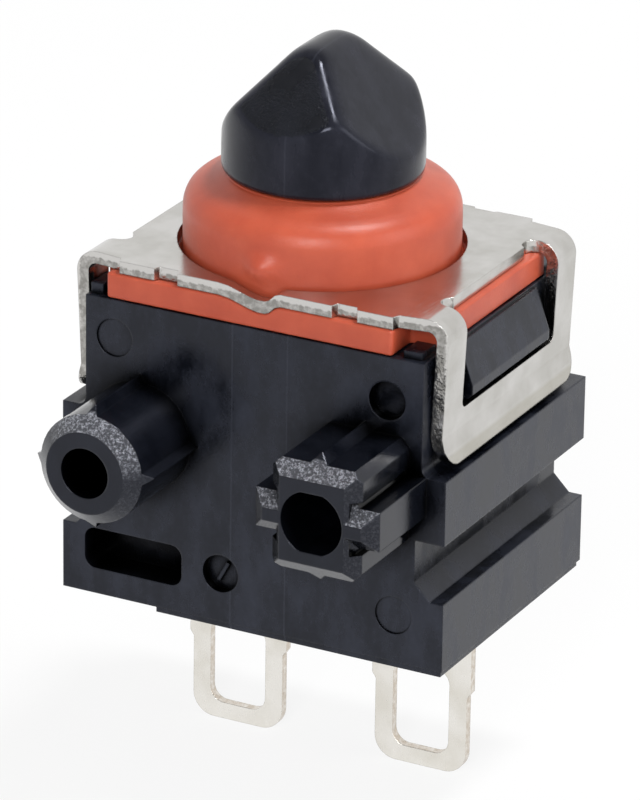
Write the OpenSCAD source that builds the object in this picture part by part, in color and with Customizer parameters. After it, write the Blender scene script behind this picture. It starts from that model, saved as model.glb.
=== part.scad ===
// Sealed subminiature pushbutton switch.
// A moulded housing with two locating posts on its mounting face, a silicone
// boot and gasket held down by a folded spring-steel cover, a wedge-topped
// plunger, and a double-break contact set closed by two springs.
//
// Frame: X along the mounting face, Y away from it, Z up. The origin is on
// the axis of the round post, in the plane of the mounting face.

/* [Housing] */
// Overall width, across the side rails
body_w = 13.3; // [12.5:0.1:16]
// Depth, from the mounting face to the back
body_d = 9.8; // [9.6:0.1:12]
// Height of the moulding, from its underside to the gasket seat
body_h = 10; // [9.7:0.05:12]
// How far the upper body stands in from the rails, each side
shoulder_in = 0.82; // [0.7:0.02:1]
// Height of the foot rails
foot_h = 2.25; // [1.8:0.05:2.6]
// Height of the grooves between the foot and the upper rails
groove_h = 1.95; // [1.5:0.05:2.2]
// Height of the upper rails
rail_h = 2.1; // [1.6:0.05:2.2]
// Depth of the grooves
groove_depth = 1; // [0.6:0.05:1.1]
// Top wall over the contact chamber
top_wall = 1.4; // [1:0.1:1.6]
// Front and back walls of the contact chamber
chamber_wall = 1.6; // [1.3:0.1:1.8]
// Side wall between a groove and the contact chamber
groove_wall = 1.2; // [1:0.1:1.6]

/* [Posts] */
// Distance between the axes of the two posts
post_pitch = 7.8; // [7.5:0.1:8.2]
// Height of the post axes above the underside
post_z = 5.7; // [5.4:0.05:6]
// Length of the posts
post_len = 3.5; // [2:0.05:4.5]
// Diameter of the round post
post_d = 3.54; // [3:0.02:3.7]
// Bore of the round post
round_bore_d = 1.64; // [1.2:0.02:1.8]
// Bore of the keyed post
keyed_bore_d = 2.08; // [1.6:0.02:2.2]
// How far the post bores run past the mounting face
bore_past_face = 0.8; // [0.2:0.1:1]
// How far the crush ribs stand out from the posts
rib_h = 0.28; // [0.1:0.02:0.4]

/* [Cover] */
// Thickness of the cover's sheet
sheet_t = 0.4; // [0.3:0.02:0.45]
// Hole in the cover for the boot
cover_hole_d = 9; // [8.7:0.05:9.1]
// Width of the legs, along the depth of the switch
leg_w = 8.85; // [8.4:0.05:9.4]
// Width of the windows in the legs
window_w = 6.35; // [5.8:0.05:6.8]

/* [Boot] */
// Thickness of the gasket flange
gasket_t = 0.83; // [0.6:0.01:1]
// Outer diameter of the boot
boot_d = 8.66; // [8.3:0.02:8.7]
// Height of the boot above the gasket seat, to its collar
boot_h = 3.6; // [3.2:0.05:3.8]
// Wall of the boot
boot_wall = 0.5; // [0.35:0.05:0.6]

/* [Plunger] */
// How far the plunger and the contacts stand to the right of the middle
axis_x = -0.2; // [-0.3:0.1:0.3]
// Diameter of the plunger's head
head_d = 6.32; // [5.8:0.02:6.6]
// Height of the head above the boot's collar, to its crest
head_h = 4.2; // [3.8:0.05:4.8]
// Travel from rest to the end stop
travel = 1.6; // [1:0.1:1.7]
// Slope of the two broad flanks of the head, in degrees
flank_angle = 48; // [42:0.5:50]
// Slope of the two end facets of the head, in degrees
facet_angle = 46; // [42:0.5:52]

/* [Contacts] */
// Distance between the centres of the two solder lugs
lug_pitch = 6.6; // [6.3:0.1:6.8]
// Width of a solder lug
lug_w = 3.24; // [2.8:0.02:3.4]
// How far the lugs reach below the housing
lug_len = 6.4; // [5:0.05:8]
// Thickness of the terminals
terminal_t = 0.3; // [0.25:0.05:0.4]
// How far the terminals stand behind the middle of the housing
terminal_back = 0.9; // [0.8:0.1:1.2]
// Opening between the contacts at rest
contact_gap = 0.9; // [0.6:0.1:1]

/* [Hidden] */
$fn = 64;

// Clearances
fit_gap = 0.05;         // parts that slide or drop in
seat_gap = 0.02;        // faces that bear on each other
thin_cut = 0.06;        // depth of a witness mark
over = 0.5;             // how far a cutting tool runs past a face

// Housing
mid_y = body_d / 2;
terminal_y = mid_y + terminal_back;
rail_top = foot_h + groove_h + rail_h;
upper_x = body_w / 2 - shoulder_in;
groove_x = body_w / 2 - groove_depth;
groove_lip = 0.45;      // flat top of a foot rail
groove_ramp = groove_depth - groove_lip;
shoulder_fillet = 0.3;
chamber_x = groove_x - groove_wall;
chamber_top = body_h - top_wall;
guide_d = 3.3;          // guide bore for the plunger's stem
mark_d = 1.24;          // ejector marks
mark_depth = 0.3;
marks = [               // x from the middle, height, depth
    [-4.82, 8.75, thin_cut], [4.62, 8.58, mark_depth],
    [-1.05, 1.63, mark_depth], [4.96, 1.56, thin_cut]
];
stroke_w = 0.12;
stroke_h = 0.12;
stroke_len = 0.72;
stroke_lean = 28;
pocket_w = 3.45;        // rounded pocket in the mounting face
pocket_h = 1.36;
pocket_x = -body_w / 2 + 0.78;
pocket_z = 0.86;
pocket_depth = 1.1;
pocket_r = 0.38;
peg_d = 0.9;            // corner pegs beside the gasket
peg_in = 0.25;
pegs = [                // x from the middle, width, height
    [-5.78, 0.42, 0.33], [5.02, 0.62, 0.22]
];

// Snap hooks under the cover's legs
hook_w = window_w - 1.02;
hook_x = upper_x + 0.56;
hook_top = body_h - 0.08;
hook_bottom = rail_top + 1.86;
hook_nose = 0.3;
hook_start = 0.1;
hook_edge = 0.16;

// Posts
tip_chamfer = 0.43;
rib_half_angle = 10;
bore_flat = 0.07;       // how far the keyed bore's flats cut in
key_w = 3.04;           // keyed post: width of the upper and lower pads
key_half_h = 1.8;
key_bar_half = 2.1;     // keyed post: reach of the side pads
key_bar_h = 1.28;
key_corner = 0.3;
key_notch = 0.3;        // gaps between the pads
key_notch_half = 0.86;
key_core_d = 3.1;

// Cover
seat_z = body_h;
cover_z = seat_z + seat_gap + gasket_t + seat_gap;
cover_top = cover_z + sheet_t;
cover_x = upper_x + sheet_t + 0.18;
bend_r = 0.3 + sheet_t;
leg_lean = 0.14;
leg_flare = 0.24;
kink_z = rail_top + 1.15;
leg_bottom = rail_top + 0.2;
leg_corner = 0.75;
window_bottom = hook_bottom - 0.12;
window_corner = 0.25;
window_x = cover_x - bend_r - 0.15;
relief_r = 0.4;
tongue_half = 2.65;     // front and back edges of the cover, from the middle
recess_half = 3.5;
tab_half = 4.7;
edge_in = 0.05;
recess_in = 0.3;
back_recess_in = 0.18;
tab_in = 0.1;
corner_in = 0.35;
step_run = 0.1;         // slope of each step in the edges
dent_end = 2.65;        // pressed dip in the front edge, and its profile
dent = [
    [-1.25, 0], [-0.9, 0.04], [-0.15, 0.27], [0.1, 0.32],
    [0.36, 0.32], [0.5, 0.27], [0.72, 0.06], [0.9, 0]
];

// Boot
boot_r = boot_d / 2;
gasket_x = upper_x - 0.07;
gasket_slab_x = upper_x - 0.9;
gasket_y = 0.03;
gasket_notch = 1.3;
gasket_r = 0.2;
collar_r = 2.05;
collar_t = 0.62;
shoulder_r = 0.55;
shoulder_drop = 1;      // centre of the shoulder's arc, below the collar
crown_in = 0.3;         // crown: three rings, each in from the side or the head
crown_drop = 0.58;
crease_in = 0.62;
crease_drop = 0.3;
crease_lip = 0.02;
crease_w = 0.12;
collar_edge = 0.1;
collar_edge_drop = 0.04;
inner_in = 0.35;        // underside of the crown
inner_drop = 0.15;
collar_in = 0.2;
boot_top = seat_z + boot_h;

// Plunger
head_r = head_d / 2;
head_z = boot_top + fit_gap;
head_edge = 0.12;
crest_z = head_z + head_h;
crest_r = 0.65;
facet_z = 2.25;         // foot of an end facet, above the head's underside
neck_r = collar_r - fit_gap;
flange_r = 2.6;
flange_h = 0.4;
flange_z = boot_top - collar_t - fit_gap - flange_h;
stem_r = guide_d / 2 - fit_gap;
pin_r = 1.05;
pin_len = 0.95;

// Contact carrier
carrier_top = chamber_top - fit_gap;
carrier_x = 1.8;
carrier_y = mid_y - chamber_wall - fit_gap;
carrier_h = 4.5;
carrier_z = carrier_top - carrier_h;
spring_seat = 0.4;
sill_h = 1;
carrier_window_w = 1.7;
carrier_window_h = 1.95;

// Contacts, spring and terminals
rivet_d = 1.5;
rivet_h = 0.35;
shank_d = 0.8;
dome_h = 0.08;
bridge_t = 0.3;
bridge_x = chamber_x - 0.3;
bridge_w = 2;
bridge_corner = 0.4;
waist_x = carrier_x + 0.15;
bridge_waist = carrier_window_w - 0.1;
bridge_z = carrier_z + sill_h + seat_gap;
moving_face_z = bridge_z - rivet_h - dome_h;
fixed_face_z = moving_face_z - contact_gap;
tab_z = fixed_face_z - rivet_h - dome_h;
tab_y = mid_y - 1;
tab_bend = 0.5;
blade_w = 2;
lug_eye_w = 2;
lug_rim = 0.56;
lug_corner = 0.75;
eye_corner = 0.5;
eye_top = 2.9;
step_z = 3.5;
step_w = 0.13;
step_slope = 0.2;
shoulder_top = 1;       // how far the blade's root runs down the lug
base_t = 1.3;
base_seat_x = chamber_x + 0.65;
base_lip = 0.2;
base_left = -body_w / 2 + 3.3;
base_in = 0.08;
resin_depth = 0.5;
resin_x = chamber_x + 0.25;
resin_y = [terminal_y - 1.1, terminal_y + 1.3];
spigot_d = 1.8;
spigot_h = 1;
return_d = 2.5;         // mean coil diameter
return_wire = 0.28;
return_turns = 4.5;
contact_d = 1.1;
contact_wire = 0.2;
contact_turns = 4;
coil_steps = 16;        // rings on one turn
coil_sides = 6;

// Colours
black_pbt = "#2b2d33";
natural_pbt = "#d9d3c4";
silicone = "#d95f4b";
spring_steel = "#c9c9c6";
tinned = "#dedbd0";
silver = "#e6e6e6";
bronze = "#b9854f";
epoxy = "#1e1f22";

// Puts the model's own frame at the round post.
module placed() {
    translate([post_pitch / 2, 0, -post_z]) children();
}

// Moves its children from the middle of the housing to the plunger's axis.
module on_axis() {
    translate([axis_x, 0, 0]) children();
}

// Extrudes an XZ outline along Y, from y0 to y1.
module along_y(y0, y1) {
    translate([0, y1, 0]) rotate([90, 0, 0]) linear_extrude(y1 - y0) children();
}

// Extrudes a YZ outline along X, from x0 to x1.
module along_x(x0, x1) {
    translate([x0, 0, 0]) rotate([90, 0, 90]) linear_extrude(x1 - x0) children();
}

// Copies its child to both sides of the middle plane.
module both_sides() {
    for (side = [0, 1]) mirror([side, 0, 0]) children();
}

// A rectangle from a to b, with true arcs of radius r at its corners.
module rounded_box_2d(a, b, r) {
    translate([a[0] + r, a[1]]) square([b[0] - a[0] - 2 * r, b[1] - a[1]]);
    translate([a[0], a[1] + r]) square([b[0] - a[0], b[1] - a[1] - 2 * r]);
    for (x = [a[0] + r, b[0] - r], y = [a[1] + r, b[1] - r]) translate([x, y]) circle(r);
}

// Housing

// Right half of the housing's section across its rails.
module housing_half_2d() {
    difference() {
        union() {
            square([body_w / 2, rail_top]);
            square([upper_x, body_h]);
            translate([upper_x, rail_top]) square(shoulder_fillet);
        }
        translate([upper_x + shoulder_fillet, rail_top + shoulder_fillet]) circle(shoulder_fillet);
        polygon([
            [body_w / 2 + over, foot_h],
            [body_w / 2 - groove_lip, foot_h],
            [groove_x, foot_h + groove_ramp],
            [groove_x, foot_h + groove_h],
            [body_w / 2 + over, foot_h + groove_h]
        ]);
    }
}

// Ramp that the cover's leg rides over and snaps behind.
module snap_hook() {
    along_y(mid_y - hook_w / 2, mid_y + hook_w / 2) polygon([
        [upper_x - over, hook_top],
        [upper_x + hook_start, hook_top],
        [hook_x, hook_bottom + hook_nose + hook_edge],
        [hook_x, hook_bottom + hook_edge],
        [hook_x - hook_edge, hook_bottom],
        [upper_x - over, hook_bottom]
    ]);
}

// Triangular ribs of radius reach, cut back by the tip chamfer.
module crush_ribs(core_r) {
    reach = core_r + rib_h;
    foot = reach * tan(rib_half_angle);
    for (a = [0, 90, 180, 270]) rotate(a)
        polygon([[core_r - rib_h, -foot], [reach, 0], [core_r - rib_h, foot]]);
}

// Cone that bevels a post's tip, as a cutting envelope.
module tip_envelope(tip_r, far_r) {
    rise = far_r - tip_r;
    rotate([90, 0, 0]) rotate_extrude() polygon([
        [0, -over], [far_r, -over], [far_r, post_len - rise], [tip_r, post_len], [0, post_len]
    ]);
}

module round_post() {
    reach = post_d / 2 + rib_h;
    intersection() {
        along_y(-post_len, over) {
            circle(d = post_d);
            crush_ribs(post_d / 2);
        }
        tip_envelope(post_d / 2 - tip_chamfer, reach + fit_gap);
    }
}

// A block along the post's axis, with the four edges of its tip cut back.
module bevelled_block(half_x, half_z, cut = tip_chamfer) {
    inner_x = half_x - cut;
    inner_z = half_z - cut;
    bevel_y = -post_len + cut;
    intersection() {
        along_x(-half_x, half_x) polygon([
            [over, -half_z], [over, half_z], [bevel_y, half_z],
            [-post_len, inner_z], [-post_len, -inner_z], [bevel_y, -half_z]
        ]);
        translate([0, 0, -half_z]) linear_extrude(2 * half_z) polygon([
            [-half_x, over], [half_x, over], [half_x, bevel_y],
            [inner_x, -post_len], [-inner_x, -post_len], [-half_x, bevel_y]
        ]);
    }
}

// Keyed post: a tube with a bevelled pad on each of its four sides.
module keyed_post() {
    core_r = key_core_d / 2;
    intersection() {
        bevelled_block(key_w / 2, key_half_h);
        along_y(-post_len, over) difference() {
            square([key_w, 2 * key_half_h], center = true);
            for (a = [0, 180], up = [0, 1]) rotate(a) mirror([0, up]) translate([key_w / 2, key_half_h])
                rotate(45) square(key_corner * sqrt(2), center = true);
            for (a = [0, 180]) rotate(a) translate([key_w / 2 - key_notch, -key_notch_half])
                square([key_w, 2 * key_notch_half]);
        }
    }
    bevelled_block(key_bar_half, key_bar_h / 2);
    intersection() {
        along_y(-post_len, over) circle(core_r);
        tip_envelope(core_r - tip_chamfer, core_r + fit_gap);
    }
    intersection() {
        along_y(-post_len, over) for (a = [90, 270]) rotate(a)
            polygon([[key_half_h - rib_h, -2 * rib_h], [key_half_h + rib_h, 0], [key_half_h - rib_h, 2 * rib_h]]);
        bevelled_block(key_w / 2, key_half_h + rib_h, tip_chamfer + rib_h);
    }
}

// Bore of the keyed post, with a flat above and below.
module keyed_bore_2d() {
    intersection() {
        circle(d = keyed_bore_d);
        square([keyed_bore_d, keyed_bore_d - 2 * bore_flat], center = true);
    }
}

// Ejector marks and the pocket, cut in the mounting face.
module front_marks() {
    for (m = marks) translate([m[0], m[2], m[1]]) rotate([90, 0, 0])
        cylinder(d = mark_d, h = m[2] + over);
    along_y(-over, pocket_depth)
        rounded_box_2d([pocket_x, pocket_z], [pocket_x + pocket_w, pocket_z + pocket_h], pocket_r);
}

// Raised stroke in the lower left mark, which tells the mould's cavity.
module cavity_stroke() {
    translate([marks[2][0], mark_depth - stroke_h, marks[2][1]]) rotate([0, stroke_lean, 0])
        translate([-stroke_w / 2, 0, -stroke_len / 2]) cube([stroke_w, stroke_h + over, stroke_len]);
}

// One peg in each corner of the gasket seat, narrow on the left.
module corner_pegs() {
    for (back = [0, 1]) translate([0, mid_y, 0]) mirror([0, back, 0]) for (p = pegs)
        translate([p[0], peg_in - mid_y, body_h - over]) cube([p[1], peg_d, p[2] + over]);
}

module housing() {
    color(black_pbt) placed() {
        difference() {
            union() {
                along_y(0, body_d) both_sides() housing_half_2d();
                both_sides() snap_hook();
                corner_pegs();
                translate([-post_pitch / 2, 0, post_z]) round_post();
                translate([post_pitch / 2, 0, post_z]) keyed_post();
            }
            on_axis() {
                translate([-chamber_x, chamber_wall, -over])
                    cube([2 * chamber_x, body_d - 2 * chamber_wall, chamber_top + over]);
                translate([-base_seat_x, chamber_wall, -over])
                    cube([2 * base_seat_x, body_d - 2 * chamber_wall, base_t + over]);
                translate([0, mid_y, chamber_top - over]) cylinder(d = guide_d, h = top_wall + 2 * over);
            }
            translate([-post_pitch / 2, bore_past_face, post_z]) rotate([90, 0, 0])
                cylinder(d = round_bore_d, h = post_len + bore_past_face + over);
            translate([post_pitch / 2, 0, post_z]) along_y(-post_len - over, bore_past_face) keyed_bore_2d();
            front_marks();
        }
        cavity_stroke();
    }
}

// Base plate: a plug in the chamber's mouth, with slots for the terminals.
module base() {
    plug_x = base_seat_x - fit_gap;
    plug_y = chamber_wall + fit_gap;
    color(black_pbt) placed() difference() {
        union() {
            translate([base_left, base_in, -base_lip])
                cube([body_w / 2 - base_left - base_in, body_d - 2 * base_in, base_lip]);
            on_axis() {
                translate([-plug_x, plug_y, -base_lip])
                    cube([2 * plug_x, body_d - 2 * plug_y, base_t + base_lip]);
                translate([0, mid_y, base_t - over]) cylinder(d = spigot_d, h = spigot_h + over);
            }
        }
        on_axis() {
            translate([-resin_x, resin_y[0], -base_lip - over])
                cube([2 * resin_x, resin_y[1] - resin_y[0], resin_depth + over]);
            for (side = [-1, 1]) translate([side * lug_pitch / 2 - blade_w / 2, terminal_y, -over])
                cube([blade_w, terminal_t, base_t + 2 * over]);
        }
    }
}

// Resin cast round the terminals in the base's underside.
module sealing_resin() {
    color(epoxy) placed() on_axis() difference() {
        translate([-resin_x, resin_y[0], -base_lip]) cube([2 * resin_x, resin_y[1] - resin_y[0], resin_depth]);
        for (side = [-1, 1]) translate([side * lug_pitch / 2 - blade_w / 2, terminal_y, -base_lip - over])
            cube([blade_w, terminal_t, 2 * over + resin_depth]);
    }
}

// Cover

// Right half of the cover's plate, seen from above.
module cover_half_2d() {
    y_back = body_d - edge_in;
    side_in = mid_y - leg_w / 2;
    polygon([
        [0, edge_in], [tongue_half, edge_in], [tongue_half + step_run, recess_in],
        [recess_half - step_run, recess_in], [recess_half, tab_in],
        [tab_half, tab_in], [tab_half + step_run, corner_in], [cover_x - bend_r, side_in],
        [cover_x - bend_r, body_d - side_in], [tab_half + step_run, body_d - corner_in],
        [tab_half, body_d - tab_in], [recess_half, body_d - tab_in],
        [recess_half - step_run, body_d - back_recess_in],
        [tongue_half + step_run, body_d - back_recess_in], [tongue_half, y_back], [0, y_back]
    ]);
}

// Section of one leg: the bend, the leaning strip and the flared lower band.
module leg_2d() {
    bend_x = cover_x - bend_r;
    bend_z = cover_top - bend_r;
    difference() {
        translate([bend_x, bend_z]) circle(bend_r);
        translate([bend_x, bend_z]) circle(bend_r - sheet_t);
        translate([bend_x - 2 * bend_r, bend_z - bend_r]) square([2 * bend_r, 2 * bend_r + over]);
        translate([bend_x - bend_r, bend_z - 2 * bend_r]) square([3 * bend_r, 2 * bend_r]);
    }
    polygon([
        [cover_x, bend_z], [cover_x - leg_lean, kink_z], [cover_x - leg_lean + leg_flare, leg_bottom],
        [cover_x - leg_lean + leg_flare - sheet_t, leg_bottom], [cover_x - leg_lean - sheet_t, kink_z],
        [cover_x - sheet_t, bend_z]
    ]);
}

// Side view of one leg: its rounded lower corners and its window.
module leg_side_2d() {
    difference() {
        union() {
            rounded_box_2d([mid_y - leg_w / 2, leg_bottom], [mid_y + leg_w / 2, cover_z], leg_corner);
            translate([mid_y - leg_w / 2, kink_z]) square([leg_w, cover_top + over - kink_z]);
        }
        rounded_box_2d([mid_y - window_w / 2, window_bottom],
            [mid_y + window_w / 2, cover_top + 2 * over], window_corner);
    }
}

// Dip pressed in the front edge of the plate, where the hole comes close to it.
// The strip is t thick, and its top is at z.
module dent_2d(z, t) {
    last = len(dent) - 1;
    polygon(concat(
        [for (p = dent) [p[0], z - p[1]]],
        [for (i = [last : -1 : 0]) [dent[i][0], z - t - dent[i][1]]]
    ));
}

module cover() {
    dent_left = dent[0][0];
    dent_w = dent[len(dent) - 1][0] - dent_left;
    color(spring_steel) placed() difference() {
        union() {
            translate([0, 0, cover_z]) linear_extrude(sheet_t) difference() {
                both_sides() cover_half_2d();
                translate([dent_left, -over]) square([dent_w, over + dent_end]);
            }
            along_y(edge_in, dent_end) dent_2d(cover_top, sheet_t);
            both_sides() intersection() {
                along_y(mid_y - leg_w / 2, mid_y + leg_w / 2) leg_2d();
                along_x(cover_x - bend_r - over, cover_x + over) leg_side_2d();
            }
        }
        translate([axis_x, mid_y, cover_z - 1]) cylinder(d = cover_hole_d, h = sheet_t + 2);
        both_sides() translate([0, 0, cover_z - over]) linear_extrude(sheet_t + 2 * over) {
            translate([window_x, mid_y - window_w / 2 + relief_r]) square([over, window_w - 2 * relief_r]);
            for (y = [mid_y - window_w / 2 + relief_r, mid_y + window_w / 2 - relief_r])
                translate([window_x + relief_r / 2, y]) circle(relief_r);
        }
    }
}

// Boot

// Section of the boot above the gasket: a straight side, a rounded shoulder,
// a creased crown and a thick collar round the plunger's neck.
module boot_section_2d() {
    shoulder_z = boot_top - shoulder_drop;
    crease_r = boot_r - crease_in;
    inner_r = boot_r - boot_wall;
    difference() {
        union() {
            translate([collar_r, seat_z + seat_gap])
                square([boot_r - collar_r, shoulder_z - seat_z - seat_gap]);
            translate([collar_r, shoulder_z]) square([boot_r - shoulder_r - collar_r, shoulder_r]);
            translate([boot_r - shoulder_r, shoulder_z]) circle(shoulder_r);
            polygon([
                [collar_r, shoulder_z], [boot_r - crown_in, boot_top - crown_drop],
                [crease_r, boot_top - crease_drop + crease_lip], [crease_r - crease_w, boot_top - crease_drop],
                [head_r + collar_edge, boot_top - collar_edge_drop], [head_r - collar_edge, boot_top],
                [collar_r, boot_top]
            ]);
        }
        polygon([
            [0, seat_z - over], [inner_r, seat_z - over], [inner_r, shoulder_z],
            [inner_r - inner_in, boot_top - collar_t - inner_drop],
            [head_r - collar_in, boot_top - collar_t], [0, boot_top - collar_t]
        ]);
    }
}

// Gasket flange, seen from above: notched beside the corner pegs.
module gasket_2d() {
    translate([axis_x, 0])
        rounded_box_2d([-gasket_slab_x, gasket_y], [gasket_slab_x, body_d - gasket_y], gasket_r);
    rounded_box_2d([-gasket_x, gasket_notch], [gasket_x, body_d - gasket_notch], gasket_r);
}

module boot() {
    color(silicone) placed() {
        difference() {
            translate([0, 0, seat_z + seat_gap]) linear_extrude(gasket_t) gasket_2d();
            translate([axis_x, mid_y, seat_z - over]) cylinder(r = boot_r - boot_wall, h = gasket_t + 2 * over);
            along_y(-over, mid_y - boot_r) dent_2d(cover_top, sheet_t + seat_gap);
        }
        translate([axis_x, mid_y, 0]) rotate_extrude() boot_section_2d();
    }
}

// Plunger

// Front view of the head's two broad flanks, with a rounded crest.
module flanks_2d() {
    apex_z = crest_z - crest_r;
    dx = crest_r * sin(flank_angle);
    dz = crest_r * cos(flank_angle);
    reach = head_r + over;
    drop = (reach - dx) * tan(flank_angle);
    translate([0, apex_z]) circle(crest_r);
    polygon([
        [-reach, 0], [reach, 0], [reach, apex_z + dz - drop], [dx, apex_z + dz],
        [-dx, apex_z + dz], [-reach, apex_z + dz - drop]
    ]);
}

// Side view of the head's two end facets.
module facets_2d() {
    foot_z = head_z + facet_z;
    rise = crest_z + over - foot_z;
    run = rise / tan(facet_angle);
    polygon([
        [mid_y - head_r - over, 0], [mid_y + head_r + over, 0],
        [mid_y + head_r + over, foot_z - over * tan(facet_angle)], [mid_y + head_r - run, crest_z + over],
        [mid_y - head_r + run, crest_z + over], [mid_y - head_r - over, foot_z - over * tan(facet_angle)]
    ]);
}

module plunger() {
    color(black_pbt) placed() on_axis() {
        intersection() {
            translate([0, mid_y, 0]) rotate_extrude() polygon([
                [0, head_z], [head_r - head_edge, head_z], [head_r, head_z + head_edge],
                [head_r, crest_z + over], [0, crest_z + over]
            ]);
            along_y(0, body_d) flanks_2d();
            along_x(-head_r - over, head_r + over) facets_2d();
        }
        translate([0, mid_y, 0]) rotate_extrude() polygon([
            [0, carrier_top - pin_len], [pin_r, carrier_top - pin_len], [pin_r, carrier_top],
            [stem_r, carrier_top], [stem_r, flange_z], [flange_r, flange_z], [flange_r, flange_z + flange_h],
            [neck_r, flange_z + flange_h], [neck_r, head_z + head_edge], [0, head_z + head_edge]
        ]);
    }
}

// Contact carrier: snapped to the plunger's stem, with a window for the bridge.
module contact_carrier() {
    color(natural_pbt) placed() on_axis() difference() {
        translate([-carrier_x, mid_y - carrier_y, carrier_z]) cube([2 * carrier_x, 2 * carrier_y, carrier_h]);
        translate([-carrier_x - over, mid_y - carrier_window_w / 2, carrier_z + sill_h])
            cube([2 * (carrier_x + over), carrier_window_w, carrier_window_h]);
        translate([0, mid_y, carrier_top - pin_len]) cylinder(r = pin_r, h = pin_len + over);
        translate([0, mid_y, carrier_z - over])
            cylinder(d = return_d + return_wire + 4 * fit_gap, h = spring_seat + over);
    }
}

// Springs

// A round wire wound from z0 to z1: rings of points along a helix.
module coil_spring(mean_d, wire_d, turns, z0, z1) {
    rings = round(turns * coil_steps);
    rise = z1 - z0 - wire_d;
    pitch = rise / turns;
    lean = atan(pitch / (PI * mean_d));
    ring_points = [
        for (i = [0 : rings]) let (a = 360 * turns * i / rings, z = z0 + wire_d / 2 + rise * i / rings)
            for (k = [0 : coil_sides - 1]) let (
                b = 360 * k / coil_sides,
                out = mean_d / 2 + wire_d / 2 * cos(b),
                up = wire_d / 2 * sin(b)
            )
            [
                out * cos(a) + up * sin(lean) * sin(a),
                out * sin(a) - up * sin(lean) * cos(a),
                z + up * cos(lean)
            ]
    ];
    sides = [
        for (i = [0 : rings - 1], k = [0 : coil_sides - 1]) let (
            p = i * coil_sides + k,
            q = i * coil_sides + (k + 1) % coil_sides
        )
        [p, q, q + coil_sides, p + coil_sides]
    ];
    ends = [
        [for (k = [coil_sides - 1 : -1 : 0]) k],
        [for (k = [0 : coil_sides - 1]) rings * coil_sides + k]
    ];
    polyhedron(points = ring_points, faces = concat(ends, sides), convexity = 10);
}

module return_spring() {
    color(spring_steel) placed() translate([axis_x, mid_y, 0])
        coil_spring(return_d, return_wire, return_turns, base_t + seat_gap, carrier_z + spring_seat - seat_gap);
}

module contact_spring() {
    z0 = bridge_z + bridge_t + seat_gap;
    z1 = carrier_z + sill_h + carrier_window_h - seat_gap;
    color(spring_steel) placed() translate([axis_x, mid_y, 0])
        coil_spring(contact_d, contact_wire, contact_turns, z0, z1);
}

// Contacts

// Bridge: a flat bronze strip, waisted where it passes through the carrier.
module contact_bridge() {
    color(bronze) placed() translate([axis_x, mid_y, bridge_z]) linear_extrude(bridge_t) difference() {
        rounded_box_2d([-bridge_x, -bridge_w / 2], [bridge_x, bridge_w / 2], bridge_corner);
        for (side = [-1, 1]) translate([-waist_x, side * bridge_w / 2 - (bridge_w - bridge_waist) / 2])
            square([2 * waist_x, bridge_w - bridge_waist]);
        for (side = [-1, 1]) translate([side * lug_pitch / 2, 0]) circle(d = shank_d);
    }
}

// Silver rivet with its domed face at z = 0, its head behind it and its
// shank through a sheet of thickness t.
module rivet(t) {
    dome_r = (rivet_d * rivet_d / 4 + dome_h * dome_h) / (2 * dome_h);
    intersection() {
        translate([0, 0, -dome_r]) sphere(dome_r, $fn = 96);
        translate([0, 0, -rivet_h - dome_h]) cylinder(d = rivet_d, h = rivet_h + 2 * dome_h);
    }
    translate([0, 0, -rivet_h - dome_h - t]) cylinder(d = shank_d, h = t + dome_h);
}

module moving_contact(side) {
    color(silver) placed() translate([axis_x + side * lug_pitch / 2, mid_y, moving_face_z]) rotate([180, 0, 0])
        rivet(bridge_t);
}

module fixed_contact(side) {
    color(silver) placed() translate([axis_x + side * lug_pitch / 2, mid_y, fixed_face_z]) rivet(terminal_t);
}

// Terminals

// Outline of the solder lug and its blade, in the plane of the sheet.
module lug_2d() {
    stem_w = lug_w + 2 * step_w;
    blade_top = tab_z - tab_bend;
    difference() {
        union() {
            rounded_box_2d([-lug_w / 2, -lug_len], [lug_w / 2, -step_z + lug_corner], lug_corner);
            translate([-lug_w / 2, -step_z - step_slope]) square([lug_w, step_z]);
            translate([-stem_w / 2, -step_z]) square([stem_w, step_z - base_lip - seat_gap]);
            polygon([
                [-stem_w / 2, -step_z], [-lug_w / 2, -step_z - step_slope],
                [lug_w / 2, -step_z - step_slope], [stem_w / 2, -step_z]
            ]);
            translate([-blade_w / 2, -shoulder_top]) square([blade_w, blade_top + shoulder_top]);
        }
        rounded_box_2d([-lug_eye_w / 2, -lug_len + lug_rim], [lug_eye_w / 2, -eye_top], eye_corner);
    }
}

// Section of the terminal's folded tab, which carries the fixed contact.
module tab_2d() {
    fold_y = terminal_y + terminal_t - tab_bend;
    fold_z = tab_z - tab_bend;
    difference() {
        translate([fold_y, fold_z]) circle(tab_bend);
        translate([fold_y, fold_z]) circle(tab_bend - terminal_t);
        translate([fold_y - 2 * tab_bend, fold_z - 2 * tab_bend]) square([2 * tab_bend, 4 * tab_bend]);
        translate([fold_y - tab_bend, fold_z - 2 * tab_bend]) square([3 * tab_bend, 2 * tab_bend]);
    }
    translate([tab_y, tab_z - terminal_t]) square([fold_y - tab_y, terminal_t]);
}

module terminal(side) {
    color(tinned) placed() translate([axis_x + side * lug_pitch / 2, 0, 0]) difference() {
        union() {
            along_y(terminal_y, terminal_y + terminal_t) lug_2d();
            along_x(-blade_w / 2, blade_w / 2) tab_2d();
        }
        translate([0, mid_y, tab_z - terminal_t - over]) cylinder(d = shank_d, h = terminal_t + 2 * over);
    }
}

housing();
base();
sealing_resin();
cover();
boot();
plunger();
contact_carrier();
return_spring();
contact_spring();
contact_bridge();
moving_contact(-1);  // moving_contact_left
moving_contact(1);  // moving_contact_right
fixed_contact(-1);  // fixed_contact_left
fixed_contact(1);  // fixed_contact_right
terminal(-1);  // terminal_left
terminal(1);  // terminal_right
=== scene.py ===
import math

import bmesh
import bpy
import numpy as np
from mathutils import Matrix, Vector


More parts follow.
